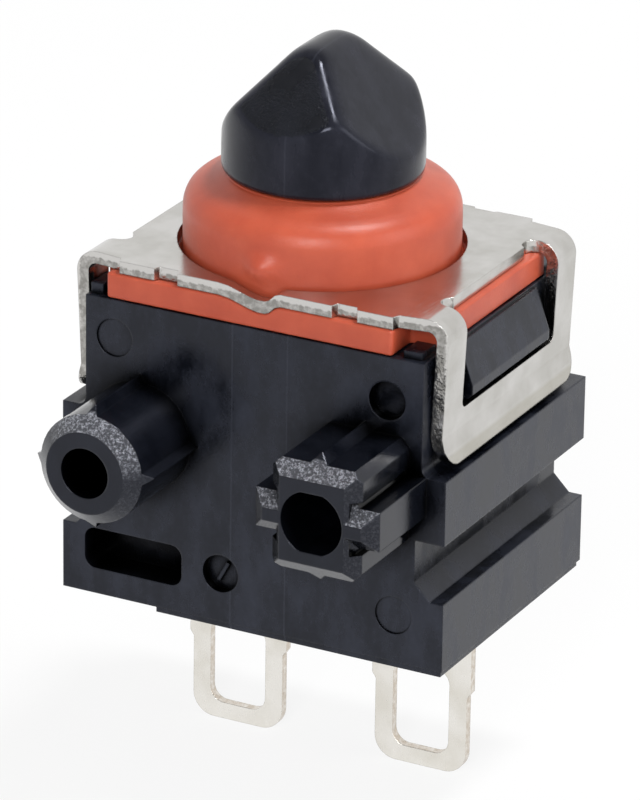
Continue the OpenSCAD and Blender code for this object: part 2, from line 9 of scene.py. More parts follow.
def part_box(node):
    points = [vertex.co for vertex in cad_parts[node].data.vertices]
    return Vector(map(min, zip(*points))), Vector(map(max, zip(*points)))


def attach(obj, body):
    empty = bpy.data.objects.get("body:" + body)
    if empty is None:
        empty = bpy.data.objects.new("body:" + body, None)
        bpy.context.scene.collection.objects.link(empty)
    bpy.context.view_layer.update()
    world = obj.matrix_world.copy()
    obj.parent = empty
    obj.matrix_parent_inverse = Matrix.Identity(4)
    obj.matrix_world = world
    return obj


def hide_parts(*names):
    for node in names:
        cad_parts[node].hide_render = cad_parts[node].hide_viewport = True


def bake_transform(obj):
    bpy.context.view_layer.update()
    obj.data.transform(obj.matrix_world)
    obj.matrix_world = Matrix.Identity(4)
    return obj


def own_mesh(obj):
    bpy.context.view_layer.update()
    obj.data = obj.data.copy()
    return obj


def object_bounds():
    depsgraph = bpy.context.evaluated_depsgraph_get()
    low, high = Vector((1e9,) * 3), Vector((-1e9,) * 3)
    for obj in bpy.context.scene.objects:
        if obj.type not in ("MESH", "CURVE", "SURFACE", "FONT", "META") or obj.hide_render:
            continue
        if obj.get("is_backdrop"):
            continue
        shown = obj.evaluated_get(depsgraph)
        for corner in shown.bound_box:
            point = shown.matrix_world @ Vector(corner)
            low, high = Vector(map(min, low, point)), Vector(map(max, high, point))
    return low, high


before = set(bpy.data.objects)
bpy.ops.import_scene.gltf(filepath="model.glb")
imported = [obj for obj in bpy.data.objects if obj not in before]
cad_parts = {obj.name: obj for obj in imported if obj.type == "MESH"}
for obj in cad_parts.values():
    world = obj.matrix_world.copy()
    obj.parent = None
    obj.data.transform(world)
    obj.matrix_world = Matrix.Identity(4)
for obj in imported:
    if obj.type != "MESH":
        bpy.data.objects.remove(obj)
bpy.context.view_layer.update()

MM = 0.001


def millimetres(node_name):
    """Lowest and highest corner of a CAD node."""
    low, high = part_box(node_name)
    return Vector(low) / MM, Vector(high) / MM


# Sizes, in millimetres

COVER_LOW, COVER_HIGH = millimetres("cover")
BOOT_LOW, BOOT_HIGH = millimetres("boot")
PLUNGER_LOW, PLUNGER_HIGH = millimetres("plunger")
AXIS_X = (PLUNGER_LOW.x + PLUNGER_HIGH.x) / 2
AXIS_Y = (PLUNGER_LOW.y + PLUNGER_HIGH.y) / 2
FIT_GAP = 0.05

# Cover
COVER_MID = (COVER_LOW.x + COVER_HIGH.x) / 2
BURNISHED = 0.2     # depth of the bright band of a sheared edge
LEG_END = 0.45      # height of the end of a leg that leans in
DIP_BACK = 1.6      # how far back from the front the cover presses on the gasket

# Boot and its gasket
SEAT_Z = BOOT_LOW.z
BOOT_TOP = BOOT_HIGH.z
BOOT_R = 4.33
BOOT_WALL = 0.5
COLLAR_R = 2.05
COLLAR_T = 0.62
GASKET_T = 0.83
GASKET_NOTCH = 1.3
GASKET_SLAB = 4.93
GASKET_HOLE_R = 4.1
GASKET_EDGE_R = 0.09
GASKET_CORNER_R = 0.12

# Plunger: its head, and the stem below
CREST_Z = PLUNGER_HIGH.z
HEAD_R = 3.16
HEAD_H = 4.2
CREST_R = 0.95
FLANK = math.radians(50)
FACET = math.radians(49.5)
FACET_FOOT = 1.95
NECK_R = 2
FLANGE_R = 2.6
FLANGE_T = 0.4
STEM_R = 1.6
TAIL_R = 1.05
TAIL_LEN = 0.95


# Camera

# Where the lens points, how far off it stands, and how it is turned.
AIM = Vector((4.015, 4.292, 0.441)) * MM
DISTANCE = 200 * MM
TURN = math.radians(27.354)
RISE = math.radians(22.523)
ROLL = math.radians(0.852)
LENS = 288.82


def place_camera():
    ahead = Vector((-math.sin(TURN) * math.cos(RISE), math.cos(TURN) * math.cos(RISE), -math.sin(RISE)))
    level = Vector((math.cos(TURN), math.sin(TURN), 0))
    above = level.cross(ahead)
    right = level * math.cos(ROLL) + above * math.sin(ROLL)
    up = above * math.cos(ROLL) - level * math.sin(ROLL)
    spin = Matrix((right, up, -ahead)).transposed()
    data = bpy.data.cameras.new("camera")
    data.lens = LENS
    data.clip_start = 10 * MM
    data.clip_end = 10
    camera = bpy.data.objects.new("camera", data)
    camera.matrix_world = Matrix.Translation(AIM - ahead * DISTANCE) @ spin.to_4x4()
    bpy.context.scene.collection.objects.link(camera)
    bpy.context.scene.camera = camera


place_camera()


# Materials. Their patterns are laid out in millimetres.

MIXED = 2   # which output of a Mix node holds the mixed colour


def colour(hex_code):
    """sRGB hex to linear, with alpha."""
    parts = [int(hex_code[i:i + 2], 16) / 255 for i in (1, 3, 5)]
    return [c / 12.92 if c <= 0.04045 else ((c + 0.055) / 1.055) ** 2.4 for c in parts] + [1]


def add_node(tree, kind, links=None, **settings):
    """Adds a node. links maps a socket to its value, or to the output that feeds it."""
    node = tree.nodes.new("ShaderNode" + kind)
    for name, value in settings.items():
        setattr(node, name, value)
    for name, value in (links or {}).items():
        if isinstance(value, bpy.types.NodeSocket):
            tree.links.new(value, node.inputs[name])
        else:
            node.inputs[name].default_value = value
    return node


def new_material(name):
    """An empty material, its tree, and a position in millimetres for its patterns."""
    made = bpy.data.materials.new(name)
    made.use_nodes = True
    tree = made.node_tree
    tree.nodes.clear()
    place = add_node(tree, "TexCoord")
    in_mm = add_node(tree, "Mapping", {"Vector": place.outputs["Object"], "Scale": (1 / MM,) * 3})
    return made, tree, in_mm.outputs[0]


def finish_material(tree, shader):
    add_node(tree, "OutputMaterial", {"Surface": shader.outputs[0]})


def witness_line(tree, place, x, tint, normal):
    """The hairline witness of a mould insert at x: a slight step, a little pale."""
    half_width, step, paleness = 0.03, 0.03, 0.14
    along = add_node(tree, "SeparateXYZ", {"Vector": place})
    near = add_node(tree, "Math", {0: along.outputs["X"], 1: x, 2: half_width}, operation="COMPARE")
    share = add_node(tree, "Math", {0: near.outputs[0], 1: paleness}, operation="MULTIPLY")
    line = add_node(tree, "Mix", {
        "Factor": share.outputs[0], "A": tint, "B": colour("#4a4d58")}, data_type="RGBA")
    bump = add_node(tree, "Bump", {
        "Height": near.outputs[0], "Normal": normal, "Distance": step * MM, "Strength": 1})
    return line.outputs[MIXED], bump.outputs[0]


def polished_posts(tree, place, dark, tint, gloss):
    """In front of the mounting face, the moulding is glossier, as the posts come from a
    polished core, and painted darker: a painted shade of the dark the posts reflect."""
    along = add_node(tree, "SeparateXYZ", {"Vector": place})
    post = add_node(tree, "MapRange", {"Value": along.outputs["Y"], "From Min": 0, "From Max": -0.2})
    polish = add_node(tree, "MapRange", {"Value": post.outputs[0], "To Min": 1, "To Max": 0.5})
    smooth = add_node(tree, "Math", {0: gloss, 1: polish.outputs[0]}, operation="MULTIPLY")
    # Painted shade: the posts' tint goes three quarters of the way to the dark tone.
    clear = add_node(tree, "Math", {0: post.outputs[0], 1: 0.75}, operation="MULTIPLY")
    deep = add_node(tree, "Mix", {"Factor": clear.outputs[0], "A": tint, "B": colour(dark)}, data_type="RGBA")
    return deep.outputs[MIXED], smooth.outputs[0]


def eroded_tips(tree, place, tip_y, tint, normal):
    """Beyond tip_y the slants of the post tips are spark-eroded and pitted. Pale specks,
    the frost of the eroded face and painted glints, show where a slant is turned up and
    a little to the right, toward the lamps: painted light. The pits are drawn about twice
    as coarse as they are, so that they show."""
    pits_per_mm, pit_depth = 11, 0.11
    slant_y, spread, to_right = -0.62, 0.28, 0.25
    along = add_node(tree, "SeparateXYZ", {"Vector": place})
    tip = add_node(tree, "MapRange", {
        "Value": along.outputs["Y"], "From Min": tip_y, "From Max": tip_y - 0.08})
    facing = add_node(tree, "SeparateXYZ", {"Vector": add_node(tree, "TexCoord").outputs["Normal"]})
    slant = add_node(tree, "Math", {0: facing.outputs["Y"], 1: slant_y, 2: spread}, operation="COMPARE")
    turned = add_node(tree, "Math", {
        0: facing.outputs["X"], 1: to_right, 2: facing.outputs["Z"]}, operation="MULTIPLY_ADD")
    # Painted light: slants that face up and a little right, toward the lamps, take the pale specks.
    painted_glint_facing = add_node(tree, "MapRange", {
        "Value": turned.outputs[0], "From Min": 0.22, "From Max": 0.5, "To Min": 0.06})
    slanted_tip = add_node(tree, "Math", {0: tip.outputs[0], 1: slant.outputs[0]}, operation="MULTIPLY")
    eroded = add_node(tree, "Math", {0: slanted_tip.outputs[0], 1: painted_glint_facing.outputs[0]}, operation="MULTIPLY")
    pits = add_node(tree, "TexNoise", {
        "Vector": place, "Scale": pits_per_mm, "Detail": 3, "Roughness": 0.8})
    spark = add_node(tree, "MapRange", {
        "Value": pits.outputs["Fac"], "From Min": 0.48, "From Max": 0.66, "To Min": 0.12, "To Max": 1})
    share = add_node(tree, "Math", {0: eroded.outputs[0], 1: spark.outputs[0]}, operation="MULTIPLY")
    # Painted highlight: the pale specks stand in for glints off the pits.
    frost_and_painted_glints = add_node(tree, "Mix", {
        "Factor": share.outputs[0], "A": tint, "B": colour("#a6a8b0")}, data_type="RGBA")
    bump = add_node(tree, "Bump", {
        "Height": pits.outputs["Fac"], "Normal": normal,
        "Distance": pit_depth * MM, "Strength": eroded.outputs[0]})
    return frost_and_painted_glints.outputs[MIXED], bump.outputs[0]


def moulded_pbt(name, dark, pale, rough, grain_mm, grain_depth_mm, edge_mm,
                tip_y=None, witness_x=(), shine="#dfe3f4"):
    """Glass-filled PBT, injection moulded: a deep tone with a faint bloom of the pale one
    where the glass lies at the surface, cloudy in gloss, with a soft grain from the
    mould, edges that the mould leaves slightly rounded, and painted shade that darkens
    its recesses toward black, in colour and in gloss. The glass flecks and the grain are
    drawn coarser than they are, so that they show. tip_y is where the tips of the posts
    start, witness_x where witness lines run, and shine the tint of the gloss."""
    bloom_per_mm, recess_reach = 0.9, 1.8
    melt_flow = (1, 1, 0.45)    # the melt draws the bloom out along Z
    made, tree, place = new_material(name)
    drawn = add_node(tree, "Mapping", {"Vector": place, "Scale": melt_flow})
    bloom = add_node(tree, "TexNoise", {
        "Vector": drawn.outputs[0], "Scale": bloom_per_mm, "Detail": 5, "Roughness": 0.6})
    fleck = add_node(tree, "TexNoise", {
        "Vector": place, "Scale": 1 / (2 * grain_mm), "Detail": 3, "Roughness": 0.7})
    bloom_share = add_node(tree, "MapRange", {
        "Value": bloom.outputs["Fac"], "From Min": 0.4, "From Max": 0.8})
    fleck_share = add_node(tree, "MapRange", {
        "Value": fleck.outputs["Fac"], "From Min": 0.5, "From Max": 0.8, "To Max": 0.4})
    glass = add_node(tree, "Math", {0: bloom_share.outputs[0], 1: fleck_share.outputs[0]},
                     operation="ADD", use_clamp=True)
    body = add_node(tree, "Mix", {
        "Factor": glass.outputs[0], "A": colour(dark), "B": colour(pale)}, data_type="RGBA")
    cloudy = add_node(tree, "MapRange", {
        "Value": bloom.outputs["Fac"], "From Min": 0.38, "From Max": 0.62,
        "To Min": rough - 0.1, "To Max": rough + 0.12})
    soft_edge = add_node(tree, "Bevel", {"Radius": edge_mm * MM}, samples=4)
    grain = add_node(tree, "TexNoise", {
        "Vector": place, "Scale": 1 / grain_mm, "Detail": 4, "Roughness": 0.65})
    bump = add_node(tree, "Bump", {
        "Height": grain.outputs["Fac"], "Normal": soft_edge.outputs[0],
        "Distance": grain_depth_mm * MM, "Strength": 1})
    tint, gloss, normal = body.outputs[MIXED], cloudy.outputs[0], bump.outputs[0]
    for x in witness_x:
        tint, normal = witness_line(tree, place, x, tint, normal)
    if tip_y is not None:
        tint, gloss = polished_posts(tree, place, dark, tint, gloss)
        tint, normal = eroded_tips(tree, place, tip_y, tint, normal)
    # Painted shade: from ambient occlusion, recesses take a colour pulled toward black and a specular tint
    # pulled toward near black.
    recess = add_node(tree, "AmbientOcclusion", {"Distance": recess_reach * MM}, samples=8, only_local=True)
    outside_painted_shade = add_node(tree, "MapRange", {
        "Value": recess.outputs["AO"], "From Min": 0.48, "From Max": 0.85})
    painted_shade_tint = add_node(tree, "Mix", {
        "Factor": outside_painted_shade.outputs[0], "A": colour("#000000"), "B": tint}, data_type="RGBA")
    skin = add_node(tree, "Mix", {
        "Factor": outside_painted_shade.outputs[0], "A": colour("#101012"), "B": colour(shine)}, data_type="RGBA")
    finish_material(tree, add_node(tree, "BsdfPrincipled", {
        "Base Color": painted_shade_tint.outputs[MIXED], "Roughness": gloss, "IOR": 1.45,
        "Specular Tint": skin.outputs[MIXED], "Normal": normal}))
    return made


def silicone_rubber():
    """Silicone rubber, compression moulded: orange-red, a little light carried under
    the skin, a soft satin face with fine mould grain. The grain is drawn coarser than
    it is, so that it shows."""
    cloud_per_mm, grain_per_mm, grain_depth = 0.7, 14, 0.006
    made, tree, place = new_material("silicone_rubber")
    cloud = add_node(tree, "TexNoise", {
        "Vector": place, "Scale": cloud_per_mm, "Detail": 4, "Roughness": 0.55})
    share = add_node(tree, "MapRange", {
        "Value": cloud.outputs["Fac"], "From Min": 0.35, "From Max": 0.7})
    tint = add_node(tree, "Mix", {
        "Factor": share.outputs[0], "A": colour("#b04a33"), "B": colour("#bf563c")}, data_type="RGBA")
    grain = add_node(tree, "TexNoise", {
        "Vector": place, "Scale": grain_per_mm, "Detail": 3, "Roughness": 0.6})
    bump = add_node(tree, "Bump", {
        "Height": grain.outputs["Fac"], "Distance": grain_depth * MM, "Strength": 1})
    gloss = add_node(tree, "MapRange", {"Value": grain.outputs["Fac"], "To Min": 0.3, "To Max": 0.44})
    finish_material(tree, add_node(tree, "BsdfPrincipled", {
        "Base Color": tint.outputs[MIXED], "Roughness": gloss.outputs[0], "IOR": 1.41,
        "Subsurface Weight": 0.12, "Subsurface Scale": 0.3 * MM, "Subsurface Radius": (1, 0.3, 0.15),
        "Normal": bump.outputs[0]}))
    return made


def leaning_end(tree, place, lip, tint, normal):
    """Between the two heights in lip the sheet leans in, its lower part darker and warmer: painted shade of
    the lean.
    """
    lean = 0.12
    level = add_node(tree, "SeparateXYZ", {"Vector": place})
    rise = add_node(tree, "MapRange", {
        "Value": level.outputs["Z"], "From Min": lip[0], "From Max": lip[1]})
    share = add_node(tree, "MapRange", {
        "Value": rise.outputs[0], "From Min": 1, "From Max": 0.7, "To Max": 0.55})
    # Painted shade: the lower part of the lip is pulled toward a darker, warmer grey.
    lean_painted_shade = add_node(tree, "Mix", {
        "Factor": share.outputs[0], "A": tint, "B": colour("#a8a496")}, data_type="RGBA")
    bump = add_node(tree, "Bump", {
        "Height": rise.outputs[0], "Normal": normal, "Distance": lean * MM, "Strength": 1})
    return lean_painted_shade.outputs[MIXED], bump.outputs[0]


def burnished_band(tree, place, skin, torn, base, tear):
    """The outer part of a sheared edge, which the die left bright. Its line is ragged."""
    raggedness = 0.2
    middle, half, top = skin
    spot = add_node(tree, "SeparateXYZ", {"Vector": place})
    off = add_node(tree, "Math", {0: spot.outputs["X"], 1: middle}, operation="SUBTRACT")
    out = add_node(tree, "Math", {0: off.outputs[0]}, operation="ABSOLUTE")
    past_side = add_node(tree, "Math", {0: out.outputs[0], 1: half}, operation="SUBTRACT")
    past_top = add_node(tree, "Math", {0: spot.outputs["Z"], 1: top}, operation="SUBTRACT")
    past = add_node(tree, "Math", {0: past_side.outputs[0], 1: past_top.outputs[0]}, operation="MAXIMUM")
    ragged = add_node(tree, "Math", {
        0: torn.outputs["Fac"], 1: raggedness, 2: past.outputs[0]}, operation="MULTIPLY_ADD")
    share = add_node(tree, "MapRange", {"Value": ragged.outputs[0], "From Min": 0.08, "From Max": 0.13})
    band = add_node(tree, "Mix", {
        "Factor": share.outputs[0], "A": tear, "B": colour(base)}, data_type="RGBA")
    return band.outputs[MIXED]


def sheared_faces(tree, place, base, cut, cut_faces, skin, tint, normal):
    """The faces that the die sheared: torn, rough, and of the colour in cut. The tears
    are drawn coarser than they are, so that they show."""
    tears_per_mm, tear_depth = 5, 0.03
    facing = add_node(tree, "SeparateXYZ", {"Vector": add_node(tree, "TexCoord").outputs["Normal"]})
    side = add_node(tree, "Math", {0: facing.outputs["Y"]}, operation="ABSOLUTE")
    sheared = add_node(tree, "MapRange", {
        "Value": side.outputs[0], "From Min": cut_faces[0], "From Max": cut_faces[1]})
    torn = add_node(tree, "TexNoise", {
        "Vector": place, "Scale": tears_per_mm, "Detail": 3, "Roughness": 0.6})
    patch = add_node(tree, "MapRange", {
        "Value": torn.outputs["Fac"], "From Min": 0.4, "From Max": 0.7, "To Max": 0.7})
    patchy = add_node(tree, "Mix", {
        "Factor": patch.outputs[0], "A": colour(cut), "B": colour(base)}, data_type="RGBA")
    tear = patchy.outputs[MIXED]
    if skin:
        tear = burnished_band(tree, place, skin, torn, base, tear)
    edged = add_node(tree, "Mix", {"Factor": sheared.outputs[0], "A": tint, "B": tear}, data_type="RGBA")
    bump = add_node(tree, "Bump", {
        "Height": torn.outputs["Fac"], "Normal": normal,
        "Distance": tear_depth * MM, "Strength": sheared.outputs[0]})
    return edged.outputs[MIXED], bump.outputs[0]


def rolled_metal(name, base, shade, rough, grain, grain_mm,
                 cut=None, cut_faces=(0.5, 0.8), skin=None, lip=None):
    """Rolled strip or drawn wire: a clear metal with fine streaks along the rolling
    direction, a little uneven in gloss, its edges just broken. The streaks are drawn
    coarser than they are, so that they show. Where cut is given, the faces that the die
    sheared take that colour. They are those that look along Y from the first to the
    second share in cut_faces. skin is the middle X, the half width and the top past
    which the shear is burnished bright. lip is the heights between which the ends of
    the legs lean in a little."""
    cloud_per_mm, edge_r, streak_depth = 0.8, 0.05, 0.002
    made, tree, place = new_material(name)
    stretched = add_node(tree, "Mapping", {"Vector": place, "Scale": grain})
    streaks = add_node(tree, "TexNoise", {
        "Vector": stretched.outputs[0], "Scale": 1 / grain_mm, "Detail": 4, "Roughness": 0.6})
    cloud = add_node(tree, "TexNoise", {
        "Vector": place, "Scale": cloud_per_mm, "Detail": 3, "Roughness": 0.5})
    worn = add_node(tree, "MapRange", {
        "Value": cloud.outputs["Fac"], "From Min": 0.35, "From Max": 0.65})
    sheet = add_node(tree, "Mix", {
        "Factor": worn.outputs[0], "A": colour(base), "B": colour(shade)}, data_type="RGBA")
    gloss = add_node(tree, "MapRange", {
        "Value": streaks.outputs["Fac"], "From Min": 0.3, "From Max": 0.7,
        "To Min": rough - 0.06, "To Max": rough + 0.08})
    soft_edge = add_node(tree, "Bevel", {"Radius": edge_r * MM}, samples=4)
    bump = add_node(tree, "Bump", {
        "Height": streaks.outputs["Fac"], "Normal": soft_edge.outputs[0],
        "Distance": streak_depth * MM, "Strength": 1})
    tint, normal = sheet.outputs[MIXED], bump.outputs[0]
    if lip:
        tint, normal = leaning_end(tree, place, lip, tint, normal)
    if cut:
        tint, normal = sheared_faces(tree, place, base, cut, cut_faces, skin, tint, normal)
    finish_material(tree, add_node(tree, "BsdfPrincipled", {
        "Base Color": tint, "Metallic": 1, "Roughness": gloss.outputs[0], "Normal": normal}))
    return made


def cast_epoxy():
    """Epoxy resin, poured and cured: black, self-levelled and glossy."""
    ripples_per_mm, ripple_depth = 1.2, 0.01
    made, tree, place = new_material("cast_epoxy")
    ripple = add_node(tree, "TexNoise", {"Vector": place, "Scale": ripples_per_mm, "Detail": 2})
    bump = add_node(tree, "Bump", {
        "Height": ripple.outputs["Fac"], "Distance": ripple_depth * MM, "Strength": 1})
    tint = add_node(tree, "Mix", {
        "Factor": ripple.outputs["Fac"], "A": colour("#17181b"), "B": colour("#26272b")}, data_type="RGBA")
    finish_material(tree, add_node(tree, "BsdfPrincipled", {
        "Base Color": tint.outputs[MIXED], "Roughness": 0.15, "IOR": 1.55, "Normal": bump.outputs[0]}))
    return made


def dress(piece, *made):
    piece.data.materials.clear()
    for one in made:
        piece.data.materials.append(one)


# Case: near-black and cool, with glossy posts in painted shade, and tips with painted glints
case_pbt = moulded_pbt(
    "case_pbt", "#07090f", "#262933", rough=0.24, grain_mm=0.09, grain_depth_mm=0.003, edge_mm=0.08,
    tip_y=-2.95, witness_x=(3.2, 5.1))
# Plunger: black and glossy
button_pbt = moulded_pbt(
    "button_pbt", "#12131a", "#25262e", rough=0.17, grain_mm=0.12, grain_depth_mm=0.002, edge_mm=0.05,
    witness_x=(4,), shine="#a3a6b5")
# Its end facets, from a spark-eroded face of the mould: matt and pitted
eroded_pbt = moulded_pbt(
    "eroded_button_pbt", "#050609", "#101218", rough=0.32, grain_mm=0.1, grain_depth_mm=0.045,
    edge_mm=0.05, shine="#a5a8b5")
# Contact carrier: undyed, so cream
natural_pbt = moulded_pbt(
    "natural_pbt", "#cfc8b6", "#e2ddcf", rough=0.45, grain_mm=0.09, grain_depth_mm=0.005,
    edge_mm=0.05, shine="#ffffff")
silicone = silicone_rubber()

# Cover: bright sheet, with torn edges under a burnished band
spring_strip = rolled_metal(
    "stainless_spring_strip", "#cac8c5", "#bab8b3", rough=0.17, grain=(1, 0.08, 1), grain_mm=0.05,
    cut="#8f8d89", skin=(COVER_MID, COVER_HIGH.x - COVER_MID - BURNISHED, COVER_HIGH.z - BURNISHED),
    lip=(COVER_LOW.z, COVER_LOW.z + LEG_END))
# Springs: drawn wire, the same grey all round
spring_wire = rolled_metal(
    "stainless_spring_wire", "#cfcfcc", "#b4b4b2", rough=0.24, grain=(1, 1, 1), grain_mm=0.1)
# Terminals: warm white tin, dull where the die cut them
tin_plate = rolled_metal(
    "bright_tin_plate", "#efece6", "#e2ded5", rough=0.22, grain=(1, 1, 0.2), grain_mm=0.06,
    cut="#c9beb0", cut_faces=(0.8, 0.5))
# Contact bridge: brown gold
bronze_strip = rolled_metal(
    "phosphor_bronze_strip", "#c9935c", "#a87646", rough=0.3, grain=(0.08, 1, 1), grain_mm=0.05)
# Contacts: soft white
silver_rivet = rolled_metal(
    "silver_alloy", "#eceae6", "#d8d6d2", rough=0.25, grain=(1, 1, 1), grain_mm=0.1)

FINISHES = {
    "housing": case_pbt, "base": case_pbt, "sealing_resin": cast_epoxy(), "cover": spring_strip,
    "contact_carrier": natural_pbt, "contact_bridge": bronze_strip,
    "moving_contact_left": silver_rivet, "moving_contact_right": silver_rivet,
    "fixed_contact_left": silver_rivet, "fixed_contact_right": silver_rivet,
    "terminal_left": tin_plate, "terminal_right": tin_plate,
    "boot": silicone, "plunger": button_pbt, "return_spring": spring_wire, "contact_spring": spring_wire,
}
for node_name, made in FINISHES.items():
    dress(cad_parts[node_name], made)


# Pieces. They are shaped in millimetres, and become metres in make_piece.

def seat_piece(mesh, body, stands_for, slot, *made):
    """A smooth piece in place of a CAD node, on its body if one is given."""
    piece = bpy.data.objects.new(mesh.name, mesh)
    bpy.context.scene.collection.objects.link(piece)
    mesh.polygons.foreach_set("use_smooth", [True] * len(mesh.polygons))
    dress(piece, *made)
    if body:
        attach(piece, body)
    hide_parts(stands_for)
    return piece


def make_piece(name, points, faces, body, stands_for, slot, *made):
    """A piece from points in millimetres."""
    mesh = bpy.data.meshes.new(name)
    mesh.from_pydata([tuple(c * MM for c in p) for p in points], [], faces)
    mesh.update()
    return seat_piece(mesh, body, stands_for, slot, *made)


def smooth_path(keys, steps):
    """Points on a Catmull-Rom curve through the keys. A doubled key makes a corner."""
    path = []
    ends = [keys[0]] + list(keys) + [keys[-1]]
    for a, b, c, d in zip(ends, ends[1:], ends[2:], ends[3:]):
        if b == c:
            continue
        for i in range(steps):
            t = i / steps
            path.append(tuple(
                0.5 * (2 * q + (r - p) * t + (2 * p - 5 * q + 4 * r - s) * t * t
                       + (3 * q - p - 3 * r + s) * t ** 3)
                for p, q, r, s in zip(a, b, c, d)))
    path.append(keys[-1])
    return path


def turned(profile, around, closed):
    """Points and faces of a profile of (radius, height) turned about the plunger's axis."""
    points, faces = [], []
    n = len(profile)
    for k in range(around):
        a = 2 * math.pi * k / around
        points += [(AXIS_X + r * math.sin(a), AXIS_Y - r * math.cos(a), z) for r, z in profile]
    for k in range(around):
        k2 = (k + 1) % around
        for i in range(n if closed else n - 1):
            j = (i + 1) % n
            faces.append((k * n + i, k2 * n + i, k2 * n + j, k * n + j))
    return points, faces


def boot_section():
    """Half a section through the boot, as (radius, height): up the straight side, over
    the soft shoulder and the creased crown, round the thick collar and down inside."""
    inner, top = BOOT_R - BOOT_WALL, BOOT_TOP
    outside = [
        (inner, SEAT_Z), (inner, SEAT_Z), (BOOT_R, SEAT_Z), (BOOT_R, SEAT_Z), (BOOT_R, SEAT_Z + 0.8),
        (BOOT_R, SEAT_Z + 1.6), (BOOT_R, top - 1.25), (BOOT_R - 0.04, top - 0.95)]
    shoulder = [
        (BOOT_R - 0.16, top - 0.69), (BOOT_R - 0.35, top - 0.5), (BOOT_R - 0.56, top - 0.38),
        (BOOT_R - 0.78, top - 0.29)]
    crown = [(3.36, top - 0.21), (3.2, top - 0.13), (3.05, top - 0.05), (2.9, top)]
    collar = [
        (COLLAR_R, top), (COLLAR_R, top), (COLLAR_R, top - COLLAR_T), (COLLAR_R, top - COLLAR_T),
        (2.9, top - COLLAR_T)]
    inside = [(3.3, top - 0.7), (3.62, top - 0.9), (inner, top - 1.2), (inner, SEAT_Z + 1.2), (inner, SEAT_Z)]
    return smooth_path(outside + shoulder + crown + collar + inside, steps=5)[:-1]


def boot_dome():
    """The boot, its side pinched out a little at the front, over the dip in the cover."""
    pinch_out, outer_skin = 0.34, BOOT_R - 0.3
    pinch_turn, pinch_width = 2, 6.5    # degrees to the right of the front
    pinch_z, pinch_height = SEAT_Z + GASKET_T + 0.95, 0.36
    points, faces = turned(boot_section(), around=192, closed=True)
    shaped = []
    for x, y, z in points:
        out = Vector((x - AXIS_X, y - AXIS_Y))
        r = out.length
        turn = math.degrees(math.atan2(out.x, -out.y))
        bulge = 0
        if r > outer_skin:
            bulge = pinch_out * math.exp(
                -((turn - pinch_turn) / pinch_width) ** 2 - ((z - pinch_z) / pinch_height) ** 2)
        out *= (r + bulge) / r
        shaped.append((AXIS_X + out.x, AXIS_Y + out.y, z))
    piece = make_piece("boot_dome", shaped, faces, None, "boot", "silicone_rubber", silicone)
    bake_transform(piece)


def rounded_outline(corners, radius, step):
    """A closed outline through square corners, each rounded, sampled about every step."""
    line = []
    count, bends = len(corners), 6
    for i in range(count):
        here, before, after = (Vector(corners[k % count]) for k in (i, i - 1, i + 1))
        back, on = (before - here).normalized(), (after - here).normalized()
        centre = here + (back + on) * radius
        for k in range(bends + 1):
            a = math.pi / 2 * k / bends
            line.append(centre - on * radius * math.cos(a) - back * radius * math.sin(a))
        start = here + on * radius
        run = (after - on * radius - start).length
        parts = max(1, round(run / step))
        line += [start + on * run * k / parts for k in range(1, parts)]
    return line


def cover_dip(x):
    """How far the cover's front edge dips at x."""
    return float(np.interp(
        x, [2.65, 3, 3.75, 4, 4.26, 4.4, 4.62, 4.8], [0, 0.04, 0.27, 0.32, 0.32, 0.27, 0.06, 0]))


def gasket_outline():
    """The gasket's outline, notched beside the corner pegs, with the way in at each point."""
    y0, y1 = BOOT_LOW.y, BOOT_HIGH.y
    notch0, notch1 = GASKET_NOTCH, y1 - GASKET_NOTCH
    left, right = AXIS_X - GASKET_SLAB, AXIS_X + GASKET_SLAB
    far_left, far_right = BOOT_LOW.x, BOOT_HIGH.x
    line = rounded_outline([
        (left, y0), (right, y0), (right, notch0), (far_right, notch0), (far_right, notch1), (right, notch1),
        (right, y1), (left, y1), (left, notch1), (far_left, notch1), (far_left, notch0), (left, notch0)],
        radius=GASKET_CORNER_R, step=0.15)
    count = len(line)
    inward = []
    for i in range(count):
        along = (line[(i + 1) % count] - line[i - 1]).normalized()
        inward.append(Vector((-along.y, along.x)))
    return line, inward


def boot_gasket():
    """The boot's gasket flange: its edges soft, and pressed down under the dip in the
    cover."""
    line, inward = gasket_outline()
    layers = [(GASKET_EDGE_R * (1 - math.sin(a)), GASKET_EDGE_R * (1 - math.cos(a)))
              for a in np.linspace(0, math.pi / 2, 5)]
    rings = [(inset, SEAT_Z + rise) for inset, rise in layers]
    rings += [(inset, SEAT_Z + GASKET_T - rise) for inset, rise in reversed(layers)]
    shape = bmesh.new()

    def point(x, y, z):
        if z > SEAT_Z + GASKET_T / 2 and y < DIP_BACK:
            z -= cover_dip(x)
        return shape.verts.new((x * MM, y * MM, z * MM))

    loops = [[point(*(p + n * inset), z) for p, n in zip(line, inward)] for inset, z in rings]
    circle = [(AXIS_X + GASKET_HOLE_R * math.sin(a), AXIS_Y - GASKET_HOLE_R * math.cos(a))
              for a in np.linspace(0, 2 * math.pi, 96, endpoint=False)]
    wall = [[point(x, y, z) for x, y in circle] for z in (SEAT_Z, SEAT_Z + GASKET_T)]
    for low, high in list(zip(loops, loops[1:])) + [(wall[1], wall[0])]:
        for i in range(len(low)):
            j = (i + 1) % len(low)
            shape.faces.new((low[i], low[j], high[j], high[i]))
    for outer, inner in ((loops[0], wall[0]), (loops[-1], wall[1])):
        rim = [shape.edges.get((ring[i - 1], ring[i])) for ring in (outer, inner) for i in range(len(ring))]
        bmesh.ops.triangle_fill(shape, use_beauty=True, edges=rim)
    bmesh.ops.recalc_face_normals(shape, faces=shape.faces)
    mesh = bpy.data.meshes.new("boot_gasket")
    shape.to_mesh(mesh)
    shape.free()
    seat_piece(mesh, "body", "boot", "silicone_rubber", silicone)


